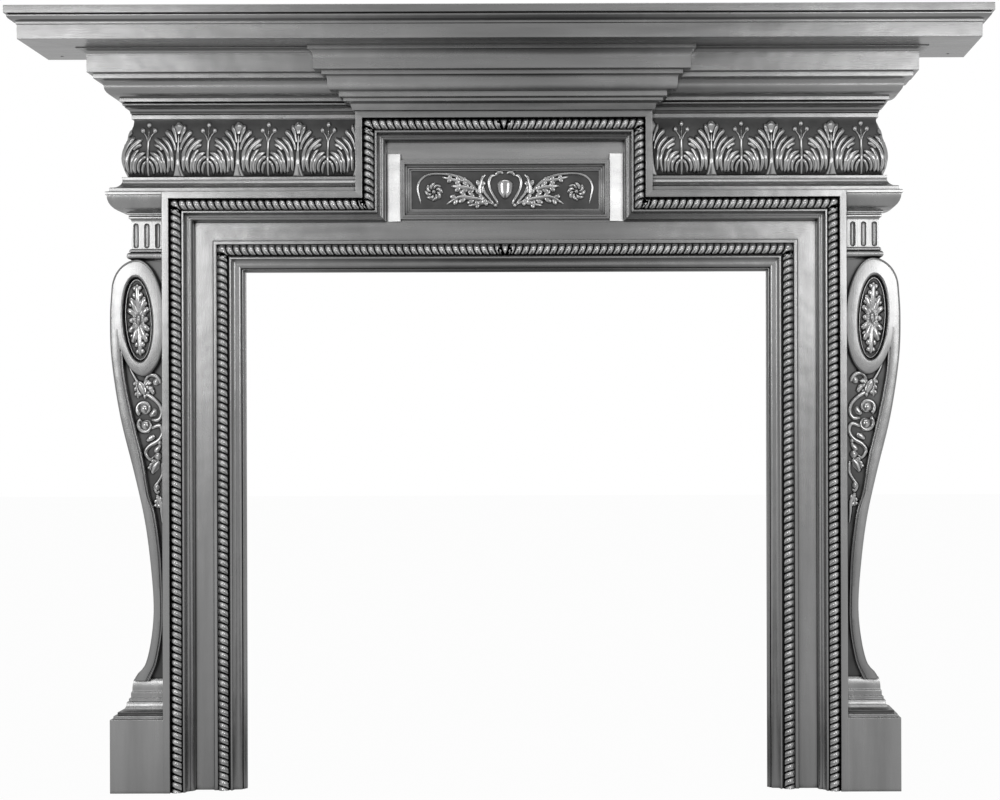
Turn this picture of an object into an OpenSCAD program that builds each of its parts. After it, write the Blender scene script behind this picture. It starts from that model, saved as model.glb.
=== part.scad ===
// A cast-iron fireplace mantel: two jambs with scrolled consoles, a lintel that carries
// the leaf frieze and the tablet, and a moulded shelf.
// Depths are counted forward from the wall face, heights up from the hearth.

/* [Hearth opening] */
// Clear width between the jambs
opening_w = 914; // [760:1:1150]
// Clear height from the hearth to the lintel
opening_h = 907; // [800:1:1100]

/* [Frame round the opening] */
// How far the frame's outer fillet stands from the wall
frame_d = 80; // [66:1:100]
// Width of the outer fillet
fillet_w = 12; // [8:0.5:16]
// Width of the channel that holds the outer rope
outer_channel_w = 21; // [17:0.5:26]
// Radius of the outer rope
outer_rope_r = 9.6; // [6:0.1:11]
// Width of the stepped moulding inside the outer rope
step_w = 17; // [13:0.5:24]
// Width of the plain band
band_w = 32.3; // [20:0.1:60]
// How far the plain band stands from the wall
band_d = 40; // [32:1:46]
// Width of the raised fillet beside the inner rope
bead_fillet_w = 6.8; // [4:0.1:10]
// Width of the channel that holds the inner rope
inner_channel_w = 22.9; // [18:0.1:26]
// Radius of the inner rope
inner_rope_r = 9; // [6:0.1:10]
// Width of the margin between the inner rope and the opening
margin_w = 25.4; // [18:0.1:36]
// How far the edge of the opening stands from the wall
reveal_d = 28; // [20:1:30]

/* [Consoles] */
// Width of the plinth outside the frame
console_w = 92; // [80:1:130]
// Height of the plinth
plinth_h = 128; // [90:1:170]
// Height of the moulding on the plinth
base_mould_h = 68; // [55:1:90]
// How far the cheek of the console stands from the wall
cheek_d = 41; // [34:1:46]
// How far the scroll stands in front of the cheek
scroll_rise = 13; // [6:1:18]
// Height of the oval ring
ring_h = 204; // [150:1:230]
// Width of the oval ring
ring_w = 88; // [76:1:92]
// Height of the opening in the ring
ring_hole_h = 148; // [110:1:160]
// Width of the opening in the ring
ring_hole_w = 51; // [40:1:62]
// Lean of the ring, its foot towards the opening
ring_lean = 3; // [0:0.5:5]
// Number of flutes on each neck
flutes = 3; // [2:1:5]
// Radius of a flute
flute_r = 5; // [3:0.5:5.5]

/* [Frieze and tablet] */
// Height of the leaf frieze
frieze_h = 102; // [80:1:130]
// Spacing of the leaves along the frieze
leaf_pitch = 104.8; // [90:0.1:120]
// How far the carving stands from the frieze
leaf_rise = 5; // [2:0.5:8]
// Half width of the raised centre of the frame
ear_half = 258; // [225:1:300]
// Height of the raised centre above the rest of the frame
ear_h = 139; // [120:1:160]
// Width of the framed tablet
tablet_w = 364; // [280:1:370]
// Height of the framed tablet
tablet_h = 103; // [80:0.5:112]
// Width of the tablet's own frame
tablet_frame_w = 19; // [14:1:26]

/* [Breakfront and shelf] */
// How far the wing fascia stands from the wall
fascia_d = 105; // [98:1:125]
// How far the centre fascia stands in front of the wing fascia
break_d = 28; // [15:1:40]
// Half width of the centre fascia
break_half = 323; // [300:1:380]
// Depth of the shelf from the wall
shelf_d = 215; // [190:1:260]
// Thickness of the shelf
shelf_h = 54; // [44:1:70]
// Radius of the fixing holes in the underside of the shelf
fix_hole_r = 3; // [2:0.5:5]
// Depth of the fixing holes
fix_hole_h = 14; // [8:1:20]

/* [Hidden] */
$fn = 48;

back_y = shelf_d / 2;
ring1_w = fillet_w + outer_channel_w + step_w;
frame_w = ring1_w + band_w + bead_fillet_w + inner_channel_w + margin_w;
frame_half = opening_w / 2 + frame_w;
frame_top = opening_h + frame_w;
ear_top = frame_top + ear_h;
abacus_h = 5.4;
abacus_lip = 5.9;
wing_base = frame_half + console_w + abacus_lip - frame_d;
plinth_base = frame_half + console_w - frame_d;
shelf_base = wing_base + 2;
bed_h = 29;
frieze_z = frame_top + bed_h;
frieze_top = frieze_z + frieze_h;
crown_h = 112;
shelf_z = frieze_top + crown_h;
total_h = shelf_z + shelf_h;
far = 1200;
steps = 6;

// Curves for profiles. Each point is [distance, height].
// Leaves a sideways and reaches b upwards.
function out_up(a, b) = [for (i = [0 : steps]) let (t = 90 * i / steps)
  [a[0] + (b[0] - a[0]) * sin(t), a[1] + (b[1] - a[1]) * (1 - cos(t))]];

// Leaves a upwards and reaches b sideways.
function up_out(a, b) = [for (i = [0 : steps]) let (t = 90 * i / steps)
  [a[0] + (b[0] - a[0]) * (1 - cos(t)), a[1] + (b[1] - a[1]) * sin(t)]];

// A double curve, sideways in the middle or upwards in the middle.
function cyma_flat(a, b) = let (m = (a + b) / 2) concat(up_out(a, m), out_up(m, b));
function cyma_steep(a, b) = let (m = (a + b) / 2) concat(out_up(a, m), up_out(m, b));

// Half a circle on a level bed, from its left end to its right end
function half_round(x, y, r) = [for (i = [0 : 2 * steps]) let (t = 180 - 90 * i / steps)
  [x + r * cos(t), y + r * sin(t)]];

// A round nose on an upright bed
function nose(x, y, r) = [for (i = [0 : 2 * steps]) let (t = -90 + 90 * i / steps)
  [x + r * cos(t), y + r * sin(t)]];

// An oval whose top leans to the right
function ellipse(x, z, a, b, lean = 0, n = 48) = [for (i = [0 : n - 1]) let (t = 360 * i / n)
  [x + a * cos(t) * cos(lean) + b * sin(t) * sin(lean),
   z + b * sin(t) * cos(lean) - a * cos(t) * sin(lean)]];

// A smooth curve through a few knots
function knot(k, i) = k[max(0, min(len(k) - 1, i))];
function spline_at(k, i, t) = let (a = knot(k, i - 1), b = knot(k, i), c = knot(k, i + 1), d = knot(k, i + 2))
  0.5 * (2 * b + (c - a) * t + (2 * a - 5 * b + 4 * c - d) * t * t + (3 * b - a - 3 * c + d) * t * t * t);
function spline(k, n = 4) = concat(
  [for (i = [0 : len(k) - 2], j = [0 : n - 1]) spline_at(k, i, j / n)], [k[len(k) - 1]]);
function reversed(p) = [for (i = [len(p) - 1 : -1 : 0]) p[i]];
function shifted(p, s) = [for (q = p) q + s];

// An outline on the front, made solid from depth d0 to depth d1
module plate(points, d0, d1) {
  translate([0, back_y - d0, 0]) rotate([90, 0, 0]) linear_extrude(d1 - d0) polygon(points);
}

// A profile of [depth, height], run along X
module run_x(profile, x0, x1) {
  translate([x0, back_y, 0]) rotate([90, 0, 90]) linear_extrude(x1 - x0)
    polygon(concat([[0, profile[0][1]]], [for (p = profile) [-p[0], p[1]]],
                   [[0, profile[len(profile) - 1][1]]]));
}

// The same profile, run to the right from x0 and returned to the wall
module returned(profile, base, x0) {
  intersection() {
    run_x(profile, x0, far);
    plate(concat([[x0 - 1, profile[0][1]]], shifted(profile, [base, 0]),
                 [[x0 - 1, profile[len(profile) - 1][1]]]), -1, far);
  }
}

// The same profile, returned at both ends
module returned_twice(profile, sides) {
  intersection() {
    run_x(profile, -far, far);
    plate(concat(sides, [for (p = reversed(sides)) [-p[0], p[1]]]), -1, far);
  }
}

// Frame -------------------------------------------------------------------

// Outer part of the frame: fillet, rope and steps. Each point is [inset, depth].
outer_rope_x = fillet_w + outer_channel_w / 2;
outer_bed = frame_d - outer_rope_r - 1.5;
step_x = fillet_w + outer_channel_w;
outer_section = concat(
  [[0, 0], [0, frame_d], [fillet_w, frame_d], [fillet_w, outer_bed]],
  half_round(outer_rope_x, outer_bed, outer_rope_r),
  [[step_x, outer_bed], [step_x, outer_bed + 3], [step_x + 3.4, outer_bed + 3]],
  up_out([step_x + 4, outer_bed - 2], [step_x + 9.5, band_d + 17]),
  [[step_x + 9.5, band_d + 14.5], [step_x + 10.6, band_d + 14.5]],
  reversed(up_out([ring1_w, band_d + 2], [step_x + 10.6, band_d + 15])),
  [[ring1_w, 0]]);

// Inner part of the frame: band, fillet, rope and margin
bead_x = ring1_w + band_w;
channel_x = bead_x + bead_fillet_w;
inner_rope_x = channel_x + inner_channel_w / 2;
margin_x = channel_x + inner_channel_w;
inner_section = concat(
  [[ring1_w, 0], [ring1_w, band_d], [bead_x, band_d]],
  [[bead_x, band_d + 5], [bead_x + 1.5, band_d + 6.5], [channel_x, band_d + 6.5], [channel_x, band_d + 4]],
  half_round(inner_rope_x, band_d + 4, inner_rope_r),
  [[margin_x, band_d + 4], [margin_x, band_d + 9], [margin_x + 3.4, band_d + 9], [margin_x + 3.4, band_d + 2]],
  reversed(cyma_flat([frame_w - 7, band_d - 4], [margin_x + 5, band_d + 1])),
  [[frame_w - 7, band_d - 9], [frame_w - 5.5, band_d - 7]],
  reversed(out_up([frame_w, reveal_d - 2], [frame_w - 4, band_d - 7.5])),
  [[frame_w - 4, 0]]);

// Corners of the frame's outline, u inside its edge
function ear(u) = let (w = frame_half - u, e = ear_half - u) [
  [-w, 0], [-w, frame_top - u], [-e, frame_top - u], [-e, ear_top - u],
  [e, ear_top - u], [e, frame_top - u], [w, frame_top - u], [w, 0]];
function arch(u) = let (w = frame_half - u) [
  [-w, 0], [-w, frame_top - u], [w, frame_top - u], [w, 0]];

// One straight length of a section, mitred where the outline turns
module mitred(section, outer, inner, reach) {
  p = outer[0];
  way = outer[1] - p;
  intersection() {
    translate([p[0], back_y, p[1]]) rotate([0, atan2(way[0], way[1]), 0])
      translate([0, 0, -reach]) linear_extrude(norm(way) + 2 * reach)
        polygon([for (s = section) [s[0], -s[1]]]);
    plate([outer[0], outer[1], inner[1], inner[0]], -1, far);
  }
}

module outer_run(i) {
  a = ear(0);
  b = ear(ring1_w);
  mitred(outer_section, [a[i], a[i + 1]], [b[i], b[i + 1]], i == 0 || i == 6 ? 0 : ring1_w);
}

module inner_run(i) {
  a = arch(0);
  b = arch(frame_w);
  mitred(inner_section, [a[i], a[i + 1]], [b[i], b[i + 1]], i == 1 ? ring1_w : 0);
}

// Console -----------------------------------------------------------------

capital_z = frame_top - abacus_h;
capital_h = 98;
neck_z = capital_z - capital_h;
ring_x = frame_half + 43.5;
ring_z = neck_z - 12 - ring_h / 2;
hole_x = ring_x + 4.5;
hole_z = ring_z - 3;
base_top = plinth_h + base_mould_h;

// Outer edge of the scroll: [distance outside the frame, share of the way up to the ring's centre]
scroll_span = ring_z - base_top;
outer_knots = [[56, -0.005], [51, 0.012], [36, 0.042], [25.5, 0.116], [21.7, 0.205], [27.4, 0.327],
               [37.4, 0.444], [54.5, 0.567], [79, 0.726], [94, 0.884], [96.6, 1], [94, 1.075]];
inner_knots = [[29, -0.005], [21.5, 0.02], [14, 0.058], [5.6, 0.148], [6.4, 0.27], [9, 0.35],
               [18, 0.455], [29, 0.511], [39, 0.607], [51, 0.685], [62.5, 0.766], [71, 0.84], [74, 0.9]];
function scroll_line(k) = [for (p = spline(k)) [frame_half + p[0], base_top + scroll_span * p[1]]];
outer_edge = scroll_line(outer_knots);
inner_edge = scroll_line(inner_knots);
ring_top_curve = [for (t = [0 : 10 : 90])
  [ring_x + 4 + (frame_half + 94 - ring_x - 4) * cos(t),
   ring_z + scroll_span * 0.075 + (ring_h / 2 - scroll_span * 0.075) * sin(t)]];
scroll_face = concat(outer_edge, ring_top_curve, [[ring_x, ring_z]], reversed(inner_edge));

// Capital, neck and neck ring: [depth, height]
capital_profile = concat(
  [[42, neck_z - 14]],
  nose(43.5, neck_z - 5.5, 6.2),
  up_out([46, neck_z + 2], [42.4, neck_z + 7]),
  [[42.4, neck_z + 53]],
  up_out([42.4, neck_z + 55], [47, neck_z + 60]),
  [[47, neck_z + 63], [45.5, neck_z + 64.5], [45.5, neck_z + 67], [49, neck_z + 67], [49, neck_z + 69.5]],
  out_up([51, neck_z + 70], [77.5, capital_z - 1.5]),
  [[77.5, capital_z]]);

base_profile = concat(
  [[frame_d, 0], [frame_d, plinth_h], [frame_d - 5, plinth_h + 1], [frame_d - 5, plinth_h + 6]],
  [[frame_d - 11, plinth_h + 7], [frame_d - 11, plinth_h + 12]],
  out_up([frame_d - 15, plinth_h + 13], [frame_d - 24, plinth_h + 28]),
  [[frame_d - 27, plinth_h + 29], [frame_d - 27, plinth_h + 34], [frame_d - 30, plinth_h + 35]],
  [[frame_d - 30, plinth_h + 44]],
  up_out([frame_d - 32, plinth_h + 46], [cheek_d + scroll_rise - 10, base_top]));

module flute(x) {
  for (z = [neck_z + 13, neck_z + 47])
    translate([x, back_y - 42.4, z]) sphere(flute_r);
  translate([x, back_y - 42.4, neck_z + 13]) cylinder(h = 34, r = flute_r);
}

module console() {
  neck_face = wing_base + 42.4 - frame_half;
  flute_gap = (neck_face - 3.6) / flutes;
  difference() {
    returned(capital_profile, wing_base, frame_half);
    for (i = [0 : flutes - 1]) flute(frame_half + 5 + flute_gap * (i + 0.5));
  }
  returned(base_profile, plinth_base, frame_half);
  plate(concat([[frame_half, base_top - 4]], outer_edge, [[ring_x, neck_z - 6], [frame_half, neck_z - 6]]),
        0, cheek_d);
  difference() {
    union() {
      plate(scroll_face, 0, cheek_d + scroll_rise);
      intersection() {
        plate(ellipse(ring_x, ring_z, ring_w / 2, ring_h / 2, ring_lean), 0, cheek_d + scroll_rise);
        plate([[frame_half, 0], [far, 0], [far, far], [frame_half, far]], 0, far);
      }
    }
    plate(ellipse(hole_x, hole_z, ring_hole_w / 2, ring_hole_h / 2, ring_lean),
          cheek_d + 1, far);
  }
  rosette(hole_x, hole_z);
  foliage();
}

// A flower of leaves round an egg, in the ring's opening
module rosette(x, z) {
  translate([x, back_y - cheek_d, z]) {
    egg(6, 15);
    for (a = [0 : 45 : 315]) {
      reach = 12 + (ring_hole_h / 2 - 30) * pow(abs(cos(a)), 3);
      rotate([0, a, 0]) translate([0, 0, 8]) cylinder(h = reach, r1 = 3, r2 = 6);
      rotate([0, a, 0]) translate([0, 0, 8 + reach]) sphere(6);
    }
  }
}

// An egg, upright, its wider end up
module egg(r, h) {
  rotate_extrude() polygon(concat(
    [for (t = [-90 : 15 : 90]) [r * cos(t) * (1 + 0.12 * sin(t)), h * sin(t)]]));
}

// Part of a round stem that curls in the plane of the front
module curl(x, z, r, from, sweep, thick) {
  translate([x, back_y - cheek_d, z]) rotate([90, 0, 0]) rotate([0, 0, from])
    rotate_extrude(angle = sweep) translate([r, 0]) circle(thick);
}

// The scrolling stem under the ring
module foliage() {
  ring_foot = ring_z - ring_h / 2;
  curl(frame_half + 20, ring_foot - 57, 16, 60, 230, 3);
  curl(frame_half + 33, ring_foot - 57, 5, 0, 360, 4.5);
  curl(frame_half + 33, ring_foot - 84, 5.5, 0, 360, 4.5);
  curl(frame_half + 19, ring_foot - 113, 18, -80, 170, 3);
  translate([frame_half + 9, back_y - cheek_d, ring_foot - 20]) sphere(5);
  translate([frame_half + 9, back_y - cheek_d, ring_foot - 140]) sphere(4.5);
}

module jamb() {
  color("silver") {
    mirror([1, 0, 0]) {
      outer_run(0);
      inner_run(0);
    }
    console();
  }
}

// Lintel ------------------------------------------------------------------

// Frieze ground, hollow above and swelling below: [depth, height]
function frieze_line(rise) = [for (i = [0 : 14]) let (s = i / 14)
  [38 + rise + 13 * sin(180 * pow(1 - s, 1.6)) + 7 * pow(1 - s, 3), frieze_z + frieze_h * s]];

// The slab that lies on each capital, beside the jamb's own corner
abacus_profile = [[frame_d, capital_z], [frame_d, frame_top]];

bed_profile = concat(
  [[frame_d, frame_top], [frame_d - 6, frame_top + 1.5], [frame_d - 6, frame_top + 7]],
  out_up([frame_d - 8, frame_top + 8], [55, frame_top + 22.5]),
  [[56, frame_top + 23], [56, frieze_z - 1], [50, frieze_z - 1]]);

crown_profile = concat(
  [[42, frieze_top], [42, frieze_top + 7.5], [40.5, frieze_top + 8.5]],
  up_out([43.5, frieze_top + 9], [52, frieze_top + 19]),
  [[50, frieze_top + 21]],
  nose(53, frieze_top + 24.4, 2.4),
  [[50.5, frieze_top + 27.2], [50.5, frieze_top + 28], [59, frieze_top + 28], [59, frieze_top + 34.5]],
  cyma_steep([62, frieze_top + 35], [fascia_d - 12, frieze_top + 62]),
  [[fascia_d - 9, frieze_top + 63], [fascia_d - 9, frieze_top + 71]],
  [[fascia_d, frieze_top + 72], [fascia_d, frieze_top + 104]],
  up_out([fascia_d + 2, frieze_top + 105.5], [fascia_d + 15, shelf_z - 1.5]),
  [[fascia_d + 15, shelf_z]]);

wing_profile = concat(bed_profile, frieze_line(0), crown_profile);

module wing() {
  returned(abacus_profile, wing_base, frame_half);
  returned(wing_profile, wing_base, ear_half - 8);
  intersection() {
    leaves();
    returned(concat([[30, frieze_z]], frieze_line(leaf_rise), [[30, frieze_top]]), wing_base, ear_half - 8);
  }
}

// One pointed leaf, its stalk at the origin
module leaf(length, width) {
  r = (length * length / width + width) / 4;
  translate([0, length / 2]) intersection() {
    translate([r - width / 2, 0]) circle(r);
    translate([width / 2 - r, 0]) circle(r);
  }
}

module berry_spray() {
  translate([-1.5, 8]) square([3, 68]);
  translate([0, 84]) circle(4);
  for (s = [-1, 1]) {
    translate([10 * s, 72]) circle(4);
    translate([2.5 * s, 6]) rotate(-38 * s) leaf(40, 11);
    translate([3 * s, 28]) rotate(-52 * s) leaf(34, 10);
  }
}

module palmette() {
  polygon([[-15, 2], [15, 2], [4, 34], [2.5, 62], [-2.5, 62], [-4, 34]]);
  translate([0, 58]) leaf(34, 13);
  for (s = [-1, 1]) {
    translate([2.5 * s, 50]) rotate(-20 * s) leaf(36, 9);
    translate([3.5 * s, 38]) rotate(-34 * s) leaf(40, 10);
    translate([11 * s, 10]) rotate(-8 * s) leaf(52, 12);
  }
}

// The row of leaves on one wing
module leaves() {
  first = break_half - 14;
  count = floor((wing_base + 45 - first) / leaf_pitch);
  translate([0, back_y - 20, 0]) rotate([90, 0, 0]) linear_extrude(70)
    for (i = [0 : count]) {
      translate([first + i * leaf_pitch, frieze_z]) berry_spray();
      if (i < count) translate([first + (i + 0.5) * leaf_pitch, frieze_z]) palmette();
    }
}

// Breakfront: [half width, height], and its depth falls back by a fixed share of the half width
break_share = 0.75;
break_sides = concat(
  [[break_half - 61, ear_top], [break_half - 58, ear_top + 11], [break_half - 47, ear_top + 14]],
  [[break_half - 47, ear_top + 19], [break_half - 40, ear_top + 21], [break_half - 40, ear_top + 30]],
  cyma_steep([break_half - 26, ear_top + 31], [break_half - 19, ear_top + 55]),
  [[break_half - 13, ear_top + 56], [break_half - 13, ear_top + 63], [break_half, ear_top + 64]],
  [[break_half, ear_top + 82]],
  up_out([break_half, ear_top + 83], [break_half + 9, ear_top + 97]),
  [[break_half + 9, shelf_z]]);
break_front = [for (p = break_sides)
  [fascia_d + break_d - break_share * (break_half - p[0]), p[1]]];

// The tablet and its frame
tablet_z = (ear_top - ring1_w + frame_top - ring1_w) / 2 - 14.5;
module tablet() {
  half = tablet_w / 2;
  tall = tablet_h / 2;
  rings = [[0, 12], [4, 14], [8, 9], [12, 6.5], [15.5, 4]];
  difference() {
    for (i = [0 : 1])
      plate(rectangle(half - rings[i][0], tall - rings[i][0]), 0, band_d + rings[i][1]);
    for (i = [2 : 4])
      plate(rectangle(half - rings[i][0], tall - rings[i][0]), band_d + rings[i][1], far);
    plate(rectangle(half - tablet_frame_w, tall - tablet_frame_w), band_d + 1.5, far);
  }
}
function rectangle(a, b) = [[-a, tablet_z - b], [a, tablet_z - b], [a, tablet_z + b], [-a, tablet_z + b]];

// The carving on the tablet: a cartouche between two roses, with curling stems
module tablet_carving() {
  translate([0, back_y - band_d, tablet_z + 2]) egg(13, 18);
  for (s = [0, 1]) mirror([s, 0, 0]) {
    translate([0, cheek_d - band_d, 0]) {
      curl(14, tablet_z - 2, 26, -70, 130, 3);
      curl(62, tablet_z - 4, 22, 20, 150, 3);
      curl(122, tablet_z, 17, 0, 360, 3.5);
      curl(152, tablet_z, 15, 110, 150, 3);
    }
    translate([122, back_y - band_d, tablet_z]) {
      sphere(7);
      for (a = [0 : 60 : 300]) rotate([0, a, 0]) translate([0, 0, 9]) sphere(5);
    }
  }
}

module lintel() {
  color("silver") {
    for (i = [1 : 5]) outer_run(i);
    inner_run(1);
    plate([[-ear_half + ring1_w, frame_top - ring1_w], [ear_half - ring1_w, frame_top - ring1_w],
           [ear_half - ring1_w, ear_top - ring1_w], [-ear_half + ring1_w, ear_top - ring1_w]], 0, band_d);
    for (s = [0, 1]) mirror([s, 0, 0]) wing();
    returned_twice(break_front, break_sides);
    tablet();
    tablet_carving();
  }
}

// Shelf -------------------------------------------------------------------

shelf_profile = concat(
  [[shelf_d - 18, shelf_z], [shelf_d - 18, shelf_z + 24.5], [shelf_d - 16, shelf_z + 25]],
  [[shelf_d - 16, shelf_z + 28.5]],
  out_up([shelf_d - 15.5, shelf_z + 29.5], [shelf_d - 4, total_h - 16.5]),
  [[shelf_d - 4, total_h - 14.5]],
  out_up([shelf_d - 1.5, total_h - 14.5], [shelf_d, total_h - 13]),
  reversed(out_up([shelf_d - 3, total_h], [shelf_d, total_h - 3])));

// Fixing holes in the underside, near the wall at each end
fix_x = wing_base + fascia_d + 60;
fix_d = 35;

module shelf() {
  color("silver") difference() {
    returned_twice(shelf_profile, shifted(shelf_profile, [shelf_base, 0]));
    for (s = [-1, 1]) translate([s * fix_x, back_y - fix_d, shelf_z - 1])
      cylinder(h = fix_hole_h + 1, r = fix_hole_r);
  }
}

module left_jamb() {
  mirror([1, 0, 0]) jamb();
}

module right_jamb() {
  jamb();
}

shelf();
lintel();
left_jamb();
right_jamb();
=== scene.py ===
# %% [markdown]
# # A polished cast-iron mantel
#
# A mantel like this is cast in a few heavy pieces and then ground and polished by hand.
# Its beauty is in crisp mouldings, twisted ropes and leaves that stand out against dark hollows.
# The engineering model gives every size, so this lesson starts by loading it and never moves it.

# %% The frame
import bpy
import bmesh
import math
from mathutils import Matrix, Vector


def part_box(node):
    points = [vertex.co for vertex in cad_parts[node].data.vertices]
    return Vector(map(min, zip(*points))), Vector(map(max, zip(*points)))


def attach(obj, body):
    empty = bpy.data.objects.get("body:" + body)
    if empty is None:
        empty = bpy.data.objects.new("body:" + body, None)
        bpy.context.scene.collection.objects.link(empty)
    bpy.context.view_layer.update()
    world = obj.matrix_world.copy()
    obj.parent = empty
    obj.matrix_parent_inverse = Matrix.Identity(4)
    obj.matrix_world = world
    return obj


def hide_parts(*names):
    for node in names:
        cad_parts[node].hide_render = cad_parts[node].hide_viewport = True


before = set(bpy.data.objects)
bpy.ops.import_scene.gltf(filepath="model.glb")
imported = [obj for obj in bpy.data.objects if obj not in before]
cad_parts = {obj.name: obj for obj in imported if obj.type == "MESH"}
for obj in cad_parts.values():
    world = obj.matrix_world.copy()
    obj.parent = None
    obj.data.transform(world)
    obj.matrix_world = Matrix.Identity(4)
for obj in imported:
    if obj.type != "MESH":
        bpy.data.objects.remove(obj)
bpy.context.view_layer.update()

print("castings:", sorted(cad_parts))

# %% [markdown]
# ## Sizes
# All sizes below are in millimetres, because a founder's drawing is. Depths count forward from
# the wall and heights up from the hearth. The driving sizes are read off the castings' boxes.

# %% Sizes
shelf_low, shelf_high = (corner * 1000 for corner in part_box("shelf"))
jamb_low, jamb_high = (corner * 1000 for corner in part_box("right_jamb"))
lintel_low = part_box("lintel")[0] * 1000

WALL = shelf_high.y
SHELF_DEPTH = shelf_high.y - shelf_low.y
SHELF_HALF = shelf_high.x
SHELF_Z = shelf_low.z
TOP = shelf_high.z
OPEN_HALF = jamb_low.x
FRAME_TOP = jamb_high.z
FRAME_W = FRAME_TOP - lintel_low.z
FRAME_HALF = OPEN_HALF + FRAME_W
FRAME_D = WALL - jamb_low.y
FASCIA_D = 105
BREAK_D = 28
EAR_HALF = 258
EAR_TOP = FRAME_TOP + 139
BAND_D = 40
CHEEK_D = 41
SCROLL_D = CHEEK_D + 13
CONSOLE_W = 92
PLINTH_H = 128
BASE_TOP = PLINTH_H + 68
ABACUS_Z = FRAME_TOP - 5.4
NECK_Z = ABACUS_Z - 98
WING_BASE = FRAME_HALF + CONSOLE_W + 5.9 - FRAME_D
PLINTH_BASE = FRAME_HALF + CONSOLE_W - FRAME_D
FRIEZE_Z = FRAME_TOP + 29
FRIEZE_H = 102
FRIEZE_TOP = FRIEZE_Z + FRIEZE_H
print(f"frame {FRAME_W:.1f} wide and {FRAME_TOP:.1f} high, shelf {2 * SHELF_HALF:.0f} long")


def at(x, depth, z):
    """A place in metres from millimetres: across, out from the wall, up."""
    return Vector((x, WALL - depth, z)) / 1000


# %% [markdown]
# ## The camera
# A product picture of a mantel is taken square on, at about the height of its middle, with a
# long lens so that the uprights stay upright. This camera stands a little to the right of the
# mantel's centre, and a lens shift brings the mantel back into the middle without turning it.

# %% The camera
CAMERA_AWAY = 3780
CAMERA_HEIGHT = 611
CAMERA_ASIDE = 200
lens = bpy.data.cameras.new("camera")
lens.lens = 76.8
lens.sensor_width = 36
lens.shift_x = -0.12
lens.shift_y = 0.04
lens.clip_end = 40
camera = bpy.data.objects.new("camera", lens)
camera.location = at(CAMERA_ASIDE, CAMERA_AWAY, CAMERA_HEIGHT)
camera.rotation_euler = (math.radians(90), math.radians(0.17), 0)
bpy.context.collection.objects.link(camera)
bpy.context.scene.camera = camera
print("camera at", [round(c, 3) for c in camera.location])

# %% [markdown]
# ## The finish
# Polished iron is grey and shiny on every face that the grinding belt reached, and is painted
# nearly black in the hollows, where it did not reach: partly the foundry blacking that stays there,
# and partly painted shade, since Ambient Occlusion finds the hollows and darkens them. The belt
# also leaves fine scratches along each moulding, which smear reflections across them. Each face
# carries its grinding direction in an attribute called grain.
# The noise is drawn out along the moulding too, so there is one finish for mouldings that
# run sideways and one for upright ones.

# %% The finish
LENGTHWAYS, UPRIGHT, ALL_WAYS = (0.08, 1, 1), (1, 1, 0.08), (1, 1, 1)
# Tone, colour of the painted shade and blacking in hollows, reach of that shade, roughness.
BELT_POLISH = (0.41, 0.015, 0.010, 0.25)


def new_material(name):
    material = bpy.data.materials.new(name)
    material.use_nodes = True
    nodes, links = material.node_tree.nodes, material.node_tree.links
    return material, nodes, links, nodes["Principled BSDF"]


def ramp(nodes, stops):
    node = nodes.new("ShaderNodeValToRGB")
    for element, (place, value) in zip(node.color_ramp.elements, stops):
        element.position = place
        element.color = (value, value, value, 1)
    return node


def noise(nodes, links, coords, scale, detail, stretch=(1, 1, 1)):
    turn = nodes.new("ShaderNodeMapping")
    turn.inputs["Scale"].default_value = stretch
    node = nodes.new("ShaderNodeTexNoise")
    node.inputs["Scale"].default_value = scale
    node.inputs["Detail"].default_value = detail
    links.new(coords.outputs["Object"], turn.inputs["Vector"])
    links.new(turn.outputs["Vector"], node.inputs["Vector"])
    return node


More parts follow.
